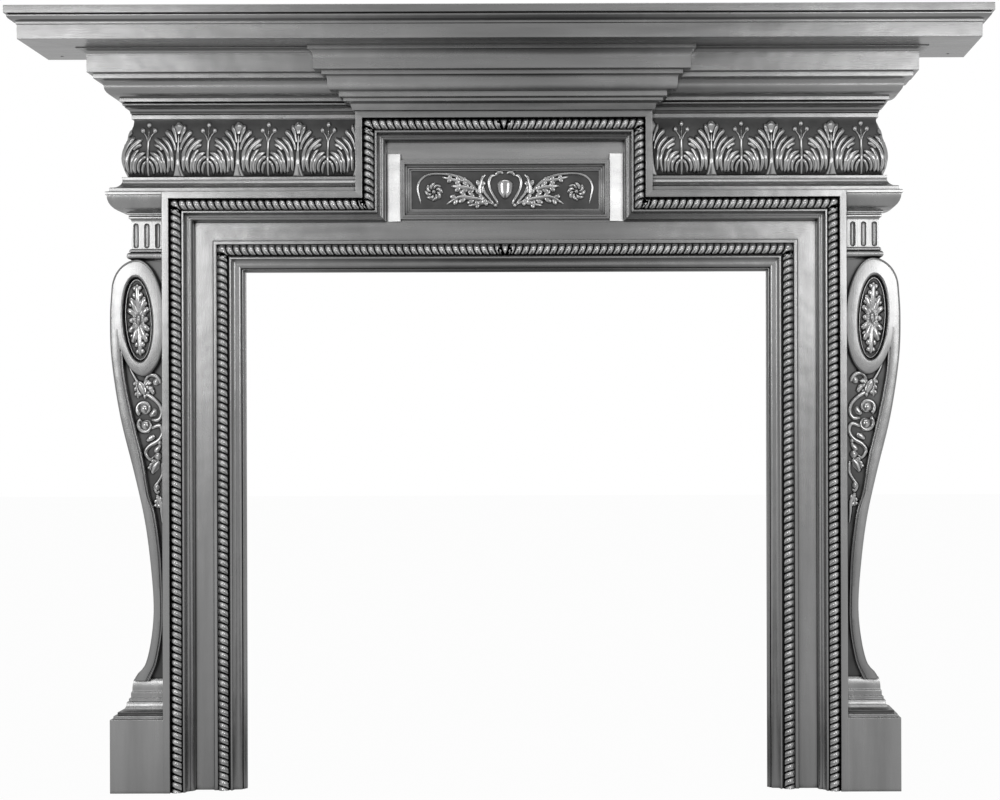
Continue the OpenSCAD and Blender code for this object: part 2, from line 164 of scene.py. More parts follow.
def polished_iron(name, bright, blacking_and_shade, reach, rough, stretch):
    """Grey metal with a wandering polish, painted nearly black in hollows narrower than reach: painted
    shade together with the blacking kept there.
    """
    material, nodes, links, shader = new_material(name)
    coords = nodes.new("ShaderNodeTexCoord")
    shader.inputs["Metallic"].default_value = 1.0
    shader.inputs["Anisotropic"].default_value = 0.25
    shader.inputs["Anisotropic Rotation"].default_value = 0.25
    # Painted shade: ambient occlusion makes the base colour nearly black in hollows and creases, standing
    # for shade and for the blacking kept there.
    occlusion_shade = nodes.new("ShaderNodeAmbientOcclusion")
    occlusion_shade.samples = 6
    occlusion_shade.inputs["Distance"].default_value = reach
    depth = ramp(nodes, ((0.2, 0.0), (0.75, 1.0)))
    links.new(occlusion_shade.outputs["AO"], depth.inputs["Fac"])
    cloud = noise(nodes, links, coords, 30, 6, stretch)
    tone = ramp(nodes, ((0.3, bright * 0.82), (0.7, bright * 1.12)))
    links.new(cloud.outputs["Fac"], tone.inputs["Fac"])
    colour = nodes.new("ShaderNodeMix")
    colour.data_type = "RGBA"
    colour.inputs["A"].default_value = (blacking_and_shade, blacking_and_shade, blacking_and_shade, 1)
    links.new(depth.outputs["Color"], colour.inputs["Factor"])
    links.new(tone.outputs["Color"], colour.inputs["B"])
    links.new(colour.outputs["Result"], shader.inputs["Base Color"])
    wear = noise(nodes, links, coords, 60, 6, stretch)
    polish = nodes.new("ShaderNodeMapRange")
    polish.inputs["To Min"].default_value = rough - 0.06
    polish.inputs["To Max"].default_value = rough + 0.08
    links.new(wear.outputs["Fac"], polish.inputs["Value"])
    dull = nodes.new("ShaderNodeMath")
    dull.operation = "SUBTRACT"
    dull.inputs[0].default_value = 1.0
    links.new(depth.outputs["Color"], dull.inputs[1])
    spread = nodes.new("ShaderNodeMath")
    spread.operation = "MULTIPLY_ADD"
    spread.inputs[1].default_value = 0.25
    links.new(dull.outputs["Value"], spread.inputs[0])
    links.new(polish.outputs["Result"], spread.inputs[2])
    links.new(spread.outputs["Value"], shader.inputs["Roughness"])
    waves = noise(nodes, links, coords, 14, 2)
    scratches = noise(nodes, links, coords, 420, 3, stretch)
    swell = nodes.new("ShaderNodeBump")
    swell.inputs["Strength"].default_value = 0.22
    swell.inputs["Distance"].default_value = 0.004
    links.new(waves.outputs["Fac"], swell.inputs["Height"])
    grit = nodes.new("ShaderNodeBump")
    grit.inputs["Strength"].default_value = 0.08
    grit.inputs["Distance"].default_value = 0.0004
    links.new(scratches.outputs["Fac"], grit.inputs["Height"])
    links.new(swell.outputs["Normal"], grit.inputs["Normal"])
    links.new(grit.outputs["Normal"], shader.inputs["Normal"])
    grain = nodes.new("ShaderNodeAttribute")
    grain.attribute_name = "grain"
    links.new(grain.outputs["Vector"], shader.inputs["Tangent"])
    return material


IRON_LENGTHWAYS = polished_iron("iron polished lengthways", *BELT_POLISH, LENGTHWAYS)
IRON_UPRIGHT = polished_iron("iron polished upright", *BELT_POLISH, UPRIGHT)
CARVED = polished_iron("iron carving", 0.62, 0.02, 0.0045, 0.15, ALL_WAYS)
BLACKED = polished_iron("blacked iron", 0.11, 0.015, 0.008, 0.30, ALL_WAYS)


def blacken(piece, is_ground):
    """Leaves foundry blacking on the faces where is_ground(x, depth, z, faces_front) is true."""
    piece.data.materials.append(BLACKED)
    for face in piece.data.polygons:
        x, y, z = face.center * 1000
        if is_ground(abs(x), WALL - y, z, face.normal.y < -0.9):
            face.material_index = 1


print("finishes:", [iron.name for iron in (IRON_LENGTHWAYS, IRON_UPRIGHT, CARVED, BLACKED)])

# %% [markdown]
# ## Tools of the shop
# Nearly every form here is a sheet of quads laid along something: a profile run round a
# frame, a leaf bent along its midrib, a strand of rope. So one helper makes a grid with
# bmesh.ops.create_grid and asks a small rule where each corner goes.

# %% Laying and closing sheets
CRISP, SOFT = 38, 60  # degrees of turn past which an edge is kept sharp


def lay_sheet(bm, across, along, place, way=None):
    """A grid of quads. place(i, j) gives each corner, way(j) the grinding direction of each row."""
    before = len(bm.faces)
    made = bmesh.ops.create_grid(bm, x_segments=across, y_segments=along, size=1)["verts"]
    rows = [made[j * (across + 1):(j + 1) * (across + 1)] for j in range(along + 1)]
    for j, row in enumerate(rows):
        for i, corner in enumerate(row):
            corner.co = at(*place(i, j))
    grain = bm.faces.layers.float_vector.get("grain") or bm.faces.layers.float_vector.new("grain")
    bm.faces.ensure_lookup_table()
    for k, face in enumerate(bm.faces[before:]):
        face[grain] = way(k // across) if way else Vector((0, 0, 1))
    return rows


def close_shell(bm, verts):
    """Welds the seams of one shell and fills whatever is still open."""
    bmesh.ops.remove_doubles(bm, verts=verts, dist=2e-6)
    rim = {e for v in verts if v.is_valid for e in v.link_edges if e.is_boundary}
    if rim:
        bmesh.ops.holes_fill(bm, edges=list(rim), sides=0)


def settle(name, bm, material, sharp=CRISP):
    """Turns a bmesh into a finished object that rides with the mantel."""
    bmesh.ops.recalc_face_normals(bm, faces=bm.faces)
    mesh = bpy.data.meshes.new(name)
    bm.to_mesh(mesh)
    mesh.polygons.foreach_set("use_smooth", [True] * len(mesh.polygons))
    mesh.set_sharp_from_angle(angle=math.radians(sharp))
    mesh.materials.append(material)
    piece = bpy.data.objects.new(name, mesh)
    bpy.context.collection.objects.link(piece)
    flats = piece.modifiers.new("flats stay flat", "WEIGHTED_NORMAL")
    flats.keep_sharp = True
    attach(piece, "root")
    return piece


def mirrored(bm):
    """The same shape for the other side, its faces still pointing outwards."""
    twin = bm.copy()
    bmesh.ops.scale(twin, vec=(-1, 1, 1), verts=twin.verts)
    bmesh.ops.reverse_faces(twin, faces=twin.faces)
    return twin


def settle_pair(name, bm, material, sharp=CRISP):
    """The finished piece on the right and its twin on the left."""
    right = settle("right_" + name, bm, material, sharp)
    return right, settle("left_" + name, mirrored(bm), material, sharp)


print("edges stay sharp past", CRISP, "degrees on mouldings and", SOFT, "on carving")


# %% [markdown]
# ## Curves for profiles
# A moulding is drawn from quarter curves: a hollow, a swelling, or the two joined as a cyma.
# Real edges are never knife sharp, so soften rounds every corner of a profile a little.
# That thin round is what catches the light in a bright line.

# %% Curves for profiles
STEPS = 7


def out_up(a, b):
    """A quarter curve that leaves a sideways and reaches b upwards."""
    turns = [math.pi / 2 * i / STEPS for i in range(STEPS + 1)]
    return [(a[0] + (b[0] - a[0]) * math.sin(t), a[1] + (b[1] - a[1]) * (1 - math.cos(t))) for t in turns]


def up_out(a, b):
    """A quarter curve that leaves a upwards and reaches b sideways."""
    turns = [math.pi / 2 * i / STEPS for i in range(STEPS + 1)]
    return [(a[0] + (b[0] - a[0]) * (1 - math.cos(t)), a[1] + (b[1] - a[1]) * math.sin(t)) for t in turns]


def cyma_flat(a, b):
    m = ((a[0] + b[0]) / 2, (a[1] + b[1]) / 2)
    return up_out(a, m) + out_up(m, b)[1:]


def cyma_steep(a, b, share=0.5):
    m = (a[0] + (b[0] - a[0]) * share, a[1] + (b[1] - a[1]) * share)
    return out_up(a, m) + up_out(m, b)[1:]


def nose(x, y, r):
    """A round nose on an upright bed."""
    turns = [math.pi * (i / (2 * STEPS) - 0.5) for i in range(2 * STEPS + 1)]
    return [(x + r * math.cos(t), y + r * math.sin(t)) for t in turns]


def soften(profile, r, closed=True):
    """Rounds each corner that turns by more than 25 degrees."""
    made = []
    count = len(profile)
    for i, here in enumerate(profile):
        here = Vector(here)
        back = Vector(profile[i - 1]) - here
        ahead = Vector(profile[(i + 1) % count]) - here
        if not closed and i in (0, count - 1) or back.length < 1e-6 or ahead.length < 1e-6:
            made.append(here)
            continue
        if math.degrees(math.pi - back.angle(ahead)) < 25:
            made.append(here)
            continue
        cut = min(r, 0.4 * back.length, 0.4 * ahead.length)
        a, b = here + back.normalized() * cut, here + ahead.normalized() * cut
        for t in (0, 1 / 3, 2 / 3, 1):
            made.append(a * (1 - t) ** 2 + here * 2 * t * (1 - t) + b * t * t)
    return [tuple(p) for p in made]


def spline(knots, t):
    """A smooth curve through knots, at t from 0 to 1. Each knot is a tuple of any length."""
    span = t * (len(knots) - 1)
    i = min(int(span), len(knots) - 2)
    f = span - i
    a, b, c, d = (Vector(knots[max(0, min(len(knots) - 1, k))]) for k in (i - 1, i, i + 1, i + 2))
    bend, twist = 2 * a - 5 * b + 4 * c - d, 3 * b - a - 3 * c + d
    return (2 * b + (c - a) * f + bend * f * f + twist * f ** 3) / 2


print("a nose has", len(nose(0, 0, 1)), "points, a cyma", len(cyma_flat((0, 0), (1, 1))))


# %% [markdown]
# ## Running a moulding
# A moulding is one profile carried past several corners. At each corner it is stretched along
# the mitre, so a station is an origin and two directions: where the profile's first
# number goes, and where its second goes. The sheet between two stations is dead straight.

# %% Running a moulding
def run(bm, profile, stations):
    """Carries a closed profile from station to station and closes its ends."""
    count = len(profile)

    def place(i, j):
        origin, first, second = stations[j]
        a, b = profile[i % count]
        return Vector(origin) + Vector(first) * a + Vector(second) * b

    def way(j):
        step = at(*stations[j + 1][0]) - at(*stations[j][0])
        if step.length < 1e-6:
            step = Vector((0, 1, 0))
        return step.normalized()

    rows = lay_sheet(bm, count, len(stations) - 1, place, way)
    close_shell(bm, [v for row in rows for v in row])


def solid(profile):
    """Closes a profile of (depth, height) against the wall."""
    return [(0, profile[0][1])] + profile + [(0, profile[-1][1])]


UP = (0, 0, 1)
SET_BACK = 0.3  # keeps the backs of two overlapping shells from lying in one plane


def right_return(base, start):
    """Stations for a moulding that runs right from start and returns to the wall."""
    return [((start, 0, 0), (0, 1, 0), UP), ((base, 0, 0), (1, 1, 0), UP), ((base, 0, 0), (1, 0, 0), UP)]


def slab(bm, outline, d0, d1, soft=1.0):
    """An outline of (across, height), solid from depth d0 to d1, its front edge rounded."""
    count = len(outline)
    turn = sum(outline[i - 1][0] * outline[i][1] - outline[i][0] * outline[i - 1][1] for i in range(count))
    rounded = [(d1 - soft * 0.5, soft * 0.13), (d1 - soft * 0.13, soft * 0.5), (d1, soft)]
    layers = [(d0, 0), (d1 - soft, 0)] + rounded

    def place(i, j):
        here = Vector(outline[i % count])
        ahead = Vector(outline[(i + 1) % count]) - Vector(outline[i % count - 1])
        inward = Vector((-ahead.y, ahead.x)).normalized()
        if turn < 0:
            inward = -inward
        p = here + inward * layers[j][1]
        return p.x, layers[j][0], p.y

    rows = lay_sheet(bm, count, len(layers) - 1, place)
    close_shell(bm, [v for row in rows for v in row])


print("backs of overlapping castings are kept", SET_BACK, "mm apart")


# %% [markdown]
# ## The shelf
# The shelf is the simplest casting: one profile that runs round three sides. Its underside is
# flat, with a small screw hole near the wall at each end, cut here with a Boolean.

# %% The shelf
def drilled(piece, cutters):
    """Cuts the cutters out of a piece for good."""
    tool_mesh = bpy.data.meshes.new("cutter")
    cutters.to_mesh(tool_mesh)
    tool = bpy.data.objects.new("cutter", tool_mesh)
    bpy.context.collection.objects.link(tool)
    flats = piece.modifiers["flats stay flat"]
    flats.show_viewport = False
    cut = piece.modifiers.new("cut", "BOOLEAN")
    cut.object = tool
    cut.solver = "EXACT"
    graph = bpy.context.evaluated_depsgraph_get()
    fresh = bpy.data.meshes.new_from_object(piece.evaluated_get(graph))
    piece.modifiers.remove(cut)
    flats.show_viewport = True
    old = piece.data
    piece.data = fresh
    bpy.data.meshes.remove(old)
    bpy.data.objects.remove(tool)
    fresh.polygons.foreach_set("use_smooth", [True] * len(fresh.polygons))
    fresh.set_sharp_from_angle(angle=math.radians(CRISP))


shelf_base = SHELF_HALF - SHELF_DEPTH
fascia, edge = SHELF_DEPTH - 18, SHELF_DEPTH - 4
shelf_profile = soften(solid(
    [(fascia, SHELF_Z), (fascia, SHELF_Z + 24.5), (fascia + 2, SHELF_Z + 25), (fascia + 2, SHELF_Z + 28.5)]
    + out_up((fascia + 2.5, SHELF_Z + 29.5), (edge, TOP - 16.5))
    + [(edge, TOP - 15.5), (edge - 3, TOP - 15.5), (edge - 3, TOP - 13.5)]
    + [(SHELF_DEPTH, TOP - 13.5), (SHELF_DEPTH, TOP)]), 1.2)
bm = bmesh.new()
run(bm, shelf_profile, [
    ((-shelf_base, 0, 0), (-1, 0, 0), UP), ((-shelf_base, 0, 0), (-1, 1, 0), UP),
    ((shelf_base, 0, 0), (1, 1, 0), UP), ((shelf_base, 0, 0), (1, 0, 0), UP)])
shelf = settle("mantel_shelf", bm, IRON_LENGTHWAYS)
SCREW_HOLE_R = 0.003
screw_hole_x = WING_BASE + FASCIA_D + 60
holes = bmesh.new()
grain = holes.faces.layers.float_vector.new("grain")
for x in (-screw_hole_x, screw_hole_x):
    bmesh.ops.create_cone(holes, segments=24, radius1=SCREW_HOLE_R, radius2=SCREW_HOLE_R, depth=0.028,
                          cap_ends=True, matrix=Matrix.Translation(at(x, 35, SHELF_Z)))
for face in holes.faces:
    face[grain] = Vector((0, 0, 1))
drilled(shelf, holes)
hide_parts("shelf")
print("shelf:", len(shelf.data.polygons), "faces")

# %% [markdown]
# ## The frame round the opening
# The frame has two parts. The outer part carries the first rope and steps up round the tablet
# like a pair of ears. The inner part, with the plain band and the second rope, goes straight
# across. Each straight length is its own mitred run, and the jambs end on the mitre.

# %% Sections of the frame
OUTER_BED = FRAME_D - 9.6 - 1.5
RING = 50
outer_section = soften(
    [(0, 0), (0, FRAME_D), (12, FRAME_D), (12, OUTER_BED), (33, OUTER_BED), (33, OUTER_BED + 3)]
    + [(36.4, OUTER_BED + 3)] + up_out((37, OUTER_BED - 2), (42.5, BAND_D + 17))
    + [(42.5, BAND_D + 14.5), (43.6, BAND_D + 14.5)]
    + up_out((RING, BAND_D + 2), (43.6, BAND_D + 15))[::-1] + [(RING, 0)], 0.9)
BEAD = RING + 32.3
CHANNEL = BEAD + 6.8
MARGIN = CHANNEL + 22.9
inner_section = soften(
    [(RING, 0), (RING, BAND_D), (BEAD, BAND_D), (BEAD, BAND_D + 5), (BEAD + 1.5, BAND_D + 6.5)]
    + [(CHANNEL, BAND_D + 6.5), (CHANNEL, BAND_D + 4), (MARGIN, BAND_D + 4), (MARGIN, BAND_D + 9)]
    + [(MARGIN + 3.4, BAND_D + 9), (MARGIN + 3.4, BAND_D + 2)]
    + cyma_flat((FRAME_W - 7, BAND_D - 4), (MARGIN + 5, BAND_D + 1))[::-1]
    + [(FRAME_W - 7, BAND_D - 9), (FRAME_W - 5.5, BAND_D - 7)]
    + out_up((FRAME_W, 26), (FRAME_W - 4, BAND_D - 7.5))[::-1] + [(FRAME_W - 4, 0)], 0.8)

OUT = (0, 1, 0)
left_corners = [(-FRAME_HALF, FRAME_TOP), (-EAR_HALF, FRAME_TOP), (-EAR_HALF, EAR_TOP)]
ear_stations = [
    ((-FRAME_HALF, 0, 0), (1, 0, 0), OUT),
    *[((x, 0, z), (1, 0, -1), OUT) for x, z in left_corners],
    *[((-x, 0, z), (-1, 0, -1), OUT) for x, z in left_corners[::-1]],
    ((FRAME_HALF, 0, 0), (-1, 0, 0), OUT)]
arch_stations = [ear_stations[0], ear_stations[1], ear_stations[6], ear_stations[7]]
print("frame section:", len(outer_section) + len(inner_section), "points")

# %% [markdown]
# ## Ropes
# A cast rope is half round, and its strands lie over each other at a slant. Each strand is a
# small pillow of quads, bent round the rope. At a corner both ropes are cut off on the mitre.
# The strands lean one way on the left of the mantel and the other way on the right.

# %% Ropes
STRAND = 12.4  # pitch of the strands, evened out over each straight length
OVER, ALONG = 8, 6  # quads over a strand and along it


def cut_off(bm, shell, spot, outside, grain):
    """Saws a closed shell at a plane through spot, and closes the cut."""
    cut = bmesh.ops.bisect_plane(bm, geom=shell, dist=1e-7, plane_co=spot, clear_outer=True,
                                 plane_no=Vector((outside.x, -outside.y, outside.z)))
    rim = [e for e in cut["geom_cut"] if isinstance(e, bmesh.types.BMEdge) and e.is_boundary]
    lids = bmesh.ops.holes_fill(bm, edges=rim, sides=0)["faces"] if rim else []
    for lid in lids:
        lid[bm.faces.layers.float_vector["grain"]] = grain
    return [part for part in cut["geom"] if part.is_valid] + lids


def rope_run(bm, start, end, inset, bed, r, lean, mitres):
    """Strands along one straight length. mitres says how each end is cut: 1 in, -1 out, 0 square."""
    (p, first, _), (q, last, _) = start, end
    p = Vector(p) + Vector(first) * inset
    q = Vector(q) + Vector(last) * inset
    line = (q - p).normalized()
    inward = Vector((line.z, 0, -line.x))
    length = (q - p).length
    count = max(1, round(length / STRAND))
    pitch = length / count
    grain = Vector((line.x, 0, line.z))
    for k in range(-2, count + 1):
        def place(i, j):
            i %= OVER + 3  # the last two points lie under the strand, sunk in the bed
            sunk = i > OVER
            step = (OVER, 0)[i - OVER - 1] if sunk else i
            turn = math.pi * (step / OVER - 0.5)
            side = math.sin(turn)
            share = j / ALONG
            swell = 0.56 + 0.46 * max(0.0, 1 - (2 * share - 1) ** 2) ** 0.7
            across = r * side * (0.92 + 0.08 * swell)
            along = (k + 0.45 + share + lean * (0.24 * side + 0.14 * side * side)) * pitch
            spot = p + line * along + inward * across
            return spot.x, bed - 1 if sunk else bed + r * math.cos(turn) * swell, spot.z

        rows = lay_sheet(bm, OVER + 3, ALONG, place, lambda j: grain)
        close_shell(bm, [v for row in rows for v in row])
        verts = [v for row in rows for v in row if v.is_valid]
        edges = {edge for v in verts for edge in v.link_edges}
        shell = [*verts, *edges, *{face for v in verts for face in v.link_faces}]
        for spot, square, lean_of_cut in ((p, -line, mitres[0]), (q, line, mitres[1])):
            shell = cut_off(bm, shell, at(*spot), square + inward * lean_of_cut, grain)


OUTER_ROPE = (21.9, OUTER_BED, 10.1)
INNER_ROPE = (CHANNEL + 10.6, BAND_D + 4, 9.9)

jamb_rope = bmesh.new()
for stations, rope in ((ear_stations[6:], OUTER_ROPE), (arch_stations[2:], INNER_ROPE)):
    rope_run(jamb_rope, stations[0], stations[1], *rope, 1, (1, 0))
lintel_rope = bmesh.new()
ear_corner, inside_corner, jamb_corner = ear_stations[4:7]
ear_middle, arch_middle = (((0, 0, z), (0, 0, -1), OUT) for z in (EAR_TOP, FRAME_TOP))
rope_run(lintel_rope, ear_middle, ear_corner, *OUTER_ROPE, -1, (0, 1))
rope_run(lintel_rope, ear_corner, inside_corner, *OUTER_ROPE, 1, (1, -1))
rope_run(lintel_rope, inside_corner, jamb_corner, *OUTER_ROPE, -1, (-1, 1))
rope_run(lintel_rope, arch_middle, jamb_corner, *INNER_ROPE, -1, (0, 1))
for name, half in (("jamb_rope", jamb_rope), ("lintel_rope", lintel_rope)):
    settle_pair(name, half, CARVED, SOFT)
    print(name, len(half.faces), "faces a side")

# %% [markdown]
# ## The consoles
# Each jamb has a scrolled console on its outer side: a capital with a fluted neck, an oval ring
# with a flower in it, and a scroll that sweeps in and out again to the base. The cheek is cut
# from an outline, and the scroll and ring are bands laid on it.

# %% Capital, neck and base
neck_profile = soften(solid(
    [(42, NECK_Z - 14)] + nose(43.5, NECK_Z - 5.5, 6.2) + up_out((46, NECK_Z + 2), (42.4, NECK_Z + 7))
    + [(42.4, NECK_Z + 53)] + up_out((42.4, NECK_Z + 55), (47, NECK_Z + 60))
    + [(47, NECK_Z + 63), (45.5, NECK_Z + 64.5), (45.5, NECK_Z + 67)]
    + [(49, NECK_Z + 67), (49, NECK_Z + 69.5)]
    + out_up((51, NECK_Z + 70), (77.5, ABACUS_Z - 1.5)) + [(77.5, ABACUS_Z)]), 0.6)
base_profile = soften(solid(
    [(FRAME_D, 0), (FRAME_D, PLINTH_H), (FRAME_D - 5, PLINTH_H + 1), (FRAME_D - 5, PLINTH_H + 6)]
    + [(FRAME_D - 11, PLINTH_H + 7), (FRAME_D - 11, PLINTH_H + 12)]
    + out_up((FRAME_D - 15, PLINTH_H + 13), (FRAME_D - 24, PLINTH_H + 28))
    + [(FRAME_D - 27, PLINTH_H + 29), (FRAME_D - 27, PLINTH_H + 34), (FRAME_D - 30, PLINTH_H + 35)]
    + [(FRAME_D - 30, PLINTH_H + 44)]
    + up_out((FRAME_D - 32, PLINTH_H + 46), (CHEEK_D + 3, BASE_TOP))), 0.8)

neck = bmesh.new()
run(neck, neck_profile, right_return(WING_BASE, FRAME_HALF - 1))
FLUTES = 3
flute_gap = (WING_BASE + 42.4 - FRAME_HALF - 3.6) / FLUTES
cutters = bmesh.new()
cutters.faces.layers.float_vector.new("grain")
for k in range(FLUTES):
    x = FRAME_HALF + 5 + flute_gap * (k + 0.5)
    made = bmesh.ops.create_uvsphere(cutters, u_segments=24, v_segments=12, radius=0.005)["verts"]
    for v in made:
        v.co.z += 0.017 if v.co.z > 1e-5 else (-0.017 if v.co.z < -1e-5 else 0)
        v.co.y *= 0.95
        v.co += at(x, 42.8, NECK_Z + 30)
for face in cutters.faces:
    face[cutters.faces.layers.float_vector["grain"]] = (0, 0, 1)
for side, shape, tools in (("right", neck, cutters), ("left", mirrored(neck), mirrored(cutters))):
    piece = settle(side + "_neck", shape, IRON_UPRIGHT)
    drilled(piece, tools)
print("flutes cut:", FLUTES, "a side")

# %% [markdown]
# ## Scroll, cheek and ring
# A smith would forge the scroll from a bar, but a founder carves its two edges in wood. Here each
# edge is a smooth curve through a few knots, given as a distance out from the frame and a share
# of the way up from the base to the middle of the ring. The cheek is a slab behind them.

# %% Scroll, cheek and ring
RING_HALF_W, RING_HALF_H = 44, 102
RING_X = FRAME_HALF + 43.5
RING_Z = NECK_Z - 12 - RING_HALF_H
HOLE_HALF_W, HOLE_HALF_H = 25.5, 74
HOLE_X, HOLE_Z = RING_X + 4.5, RING_Z - 3
LEAN = math.radians(3)
SPAN = RING_Z - BASE_TOP
OUTER_KNOTS = [(56, -0.005), (51, 0.012), (36, 0.042), (25.5, 0.116), (21.7, 0.205), (27.4, 0.327),
               (37.4, 0.444), (54.5, 0.567), (79, 0.726), (94, 0.884), (96.6, 1), (94, 1.075)]
INNER_KNOTS = [(29, -0.005), (21.5, 0.02), (14, 0.058), (5.6, 0.148), (6.4, 0.27), (9, 0.35),
               (18, 0.455), (29, 0.511), (39, 0.607), (51, 0.685), (62.5, 0.766), (71, 0.84), (74, 0.9)]


def edge_line(knots, count):
    made = [spline(knots, k / count) for k in range(count + 1)]
    return [(FRAME_HALF + p[0], BASE_TOP + SPAN * p[1]) for p in made]


def across_at(line, z):
    """Where a rising line is at height z."""
    for (x0, z0), (x1, z1) in zip(line, line[1:]):
        if z <= z1:
            return x0 + (x1 - x0) * (z - z0) / (z1 - z0)
    return line[-1][0]


shoulder = [(RING_X + 4 + (FRAME_HALF + 90 - RING_X) * math.cos(math.radians(t)),
             RING_Z + SPAN * 0.075 + (RING_HALF_H - SPAN * 0.075) * math.sin(math.radians(t)))
            for t in range(6, 91, 6)]
outer_line = edge_line(OUTER_KNOTS, 66) + shoulder
inner_line = edge_line(INNER_KNOTS, 60)


def oval(t, half_w, half_h, x=RING_X, z=RING_Z):
    """A point at angle t on an oval that leans with the scroll."""
    out, up = half_w * math.cos(t), half_h * math.sin(t)
    return x + out * math.cos(LEAN) + up * math.sin(LEAN), z + up * math.cos(LEAN) - out * math.sin(LEAN)


def ring_rim(t):
    """The ring's outer edge. On the outside it is the silhouette of the console."""
    x, z = oval(t, RING_HALF_W, RING_HALF_H)
    if x > RING_X + 3 and z > RING_Z - 62:
        blend = min(1, (z - RING_Z + 62) / 30)
        x += max(0, across_at(outer_line, z) - x) * blend * blend * (3 - 2 * blend)
    return max(x, FRAME_HALF - 1), z


def band(bm, outer, inner, section, count, way=None):
    """A band between two lines, with a closed section of (share across, depth)."""

    def place(i, j):
        a, b = outer(j / count), inner(j / count)
        share, depth = section[i % len(section)]
        return a[0] + (b[0] - a[0]) * share, depth, a[1] + (b[1] - a[1]) * share

    rows = lay_sheet(bm, len(section), count, place, way)
    close_shell(bm, [v for row in rows for v in row])


def section_between(face, back, points):
    """A band's section from (share across, height over its face), closed at the back."""
    return [(0, back)] + [(share, face + over) for share, over in points] + [(1, back)]


def scroll_height(t):
    low, high = BASE_TOP - 3, RING_Z - 20
    return low + (high - low) * t


def scroll_outside(t):
    z = scroll_height(t)
    return across_at(outer_line, z), z


def scroll_inside(t):
    z = scroll_height(t)
    return min(across_at(inner_line, z), FRAME_HALF + 76), z


def hole_line(width, height):
    """The outline of the ring's opening, drawn in by width and height all round."""
    return lambda t: oval(2 * math.pi * t, HOLE_HALF_W - width, HOLE_HALF_H - height, HOLE_X, HOLE_Z)


def in_channel(depth, faces_front):
    """The flat beds under the two ropes."""
    return faces_front and min(abs(depth - OUTER_BED), abs(depth - BAND_D - 4)) < 0.4


def jamb_ground(x, depth, z, faces_front):
    """The rope beds and the cheek behind the ring and the scroll."""
    cheek_face = faces_front and x > FRAME_HALF and z > BASE_TOP and depth < CHEEK_D + 1
    return in_channel(depth, faces_front) or cheek_face


console = bmesh.new()
run(console, base_profile, right_return(PLINTH_BASE, FRAME_HALF - 1))
cheek = ([(FRAME_HALF - 1, BASE_TOP - 4)] + [(x - 0.6, z) for x, z in outer_line]
         + [(RING_X + 2, NECK_Z - 8), (FRAME_HALF - 1, NECK_Z - 8)])
slab(console, cheek, SET_BACK, CHEEK_D, 0.5)

scroll_section = section_between(SCROLL_D, 2 * SET_BACK, [
    (0, -3), (0.03, -1.2), (0.08, -0.3), (0.16, 0), (0.40, 0.3), (0.72, 0), (0.76, -0.6), (0.78, -2),
    (0.83, -2), (0.85, -0.8), (0.88, -0.3), (0.93, -0.3), (0.97, -0.9), (1, -2.4)])
band(console, scroll_outside, scroll_inside, scroll_section, 96, lambda j: Vector((0, 0, 1)))
ring_section = section_between(SCROLL_D, 3 * SET_BACK, [
    (0, -3.2), (0.03, -1.6), (0.08, -0.7), (0.15, -0.3), (0.5, 0), (0.84, 0.3), (0.91, 0), (0.96, -0.9),
    (1, -2.8)])
band(console, lambda t: ring_rim(2 * math.pi * t), hole_line(0, 0), ring_section, 96)
rim_section = section_between(CHEEK_D, CHEEK_D - 2, [(0, 3.2), (0.3, 4.4), (0.7, 4.4), (1, 3)])
band(console, hole_line(2.4, 3), hole_line(4.4, 5.4), rim_section, 72)

run(console, outer_section, ear_stations[6:])
run(console, inner_section, arch_stations[2:])

right_jamb, left_jamb = settle_pair("jamb_casting", console, IRON_UPRIGHT)
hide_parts("right_jamb")
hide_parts("left_jamb")
for piece in (right_jamb, left_jamb):
    blacken(piece, jamb_ground)
print("jamb:", len(right_jamb.data.polygons), "faces")

# %% [markdown]
# ## The lintel
# The lintel carries everything above the opening: the bed moulding, the frieze that swells
# like a cushion, the crown mouldings, and a breakfront in the middle that stands further out.

# %% The lintel
def frieze_depth(z):
    """The frieze ground: hollow above, swelling below."""
    down = max(0.0, min(1.0, 1 - (z - FRIEZE_Z) / FRIEZE_H))
    return 38 + 13 * math.sin(math.pi * down ** 1.6) + 7 * down ** 3


T, F, E = FRAME_TOP, FRIEZE_TOP, EAR_TOP  # short names for the heights in the profiles below
abacus_profile = soften(solid([(FRAME_D, ABACUS_Z), (FRAME_D, T), (FRAME_D - 6, T + 1.5)]), 0.8)
wing_profile = soften(solid(
    [(FRAME_D - 6, T), (FRAME_D - 6, T + 7)]
    + out_up((FRAME_D - 8, T + 8), (55, T + 22.5)) + [(56, T + 23), (56, FRIEZE_Z - 1), (50, FRIEZE_Z - 1)]
    + [(frieze_depth(FRIEZE_Z + FRIEZE_H * k / 20), FRIEZE_Z + FRIEZE_H * k / 20) for k in range(21)]
    + [(42, F), (42, F + 7.5), (40.5, F + 8.5)] + up_out((43.5, F + 9), (52, F + 19)) + [(50, F + 21)]
    + nose(53, F + 24.4, 2.4) + [(50.5, F + 27.2), (50.5, F + 28), (59, F + 28), (59, F + 34.5)]
    + cyma_steep((62, F + 35), (FASCIA_D - 12, F + 62), 0.62)
    + [(FASCIA_D - 9, F + 63), (FASCIA_D - 9, F + 71), (FASCIA_D, F + 72), (FASCIA_D, F + 104)]
    + up_out((FASCIA_D + 2, F + 105.5), (FASCIA_D + 15, SHELF_Z - 1.5)) + [(FASCIA_D + 15, SHELF_Z)]), 0.8)

